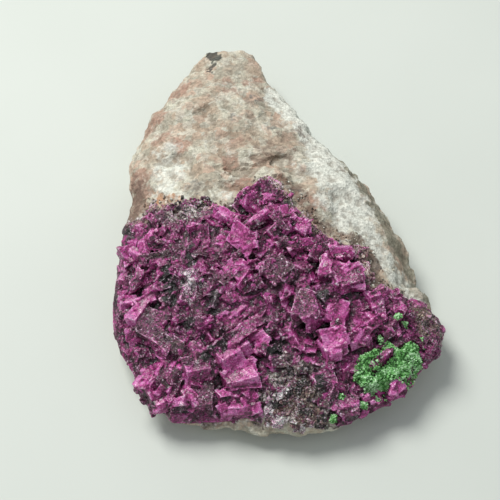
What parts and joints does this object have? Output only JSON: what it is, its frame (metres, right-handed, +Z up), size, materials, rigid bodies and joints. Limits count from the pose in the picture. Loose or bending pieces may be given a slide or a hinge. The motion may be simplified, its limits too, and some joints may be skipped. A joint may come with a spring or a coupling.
{
  "type": "mineral specimen",
  "caption": "Hand specimen lying on its flat underside: a tapering slab of pale rock, pink rhombic calcite crystals crusting its wide end, and green malachite tufts near one corner.",
  "frame": {"origin": "middle of the specimen's box, on the surface it rests on", "axes": "+Z up from the resting face, +Y towards the narrow tip of bare rock, +X towards the corner with the malachite"},
  "size_m": [0.0424, 0.0572, 0.0148],
  "materials": {
    "matrix": "granular broken limestone, beige with brown and white zones",
    "calcite": "glossy magenta-pink cleavage faces dusted with dark specks",
    "malachite": "velvety green tufts"
  },
  "bodies": {
    "root": {"matrix_rock": "matrix", "calcite_crust": "calcite", "malachite_patch": "malachite", "malachite_tuft_1": "malachite", "malachite_tuft_2": "malachite", "malachite_tuft_3": "malachite", "malachite_tuft_4": "malachite", "malachite_tuft_5": "malachite", "malachite_tuft_6": "malachite", "malachite_tuft_7": "malachite", "malachite_tuft_8": "malachite", "malachite_tuft_9": "malachite"}
  },
  "joints": []
}
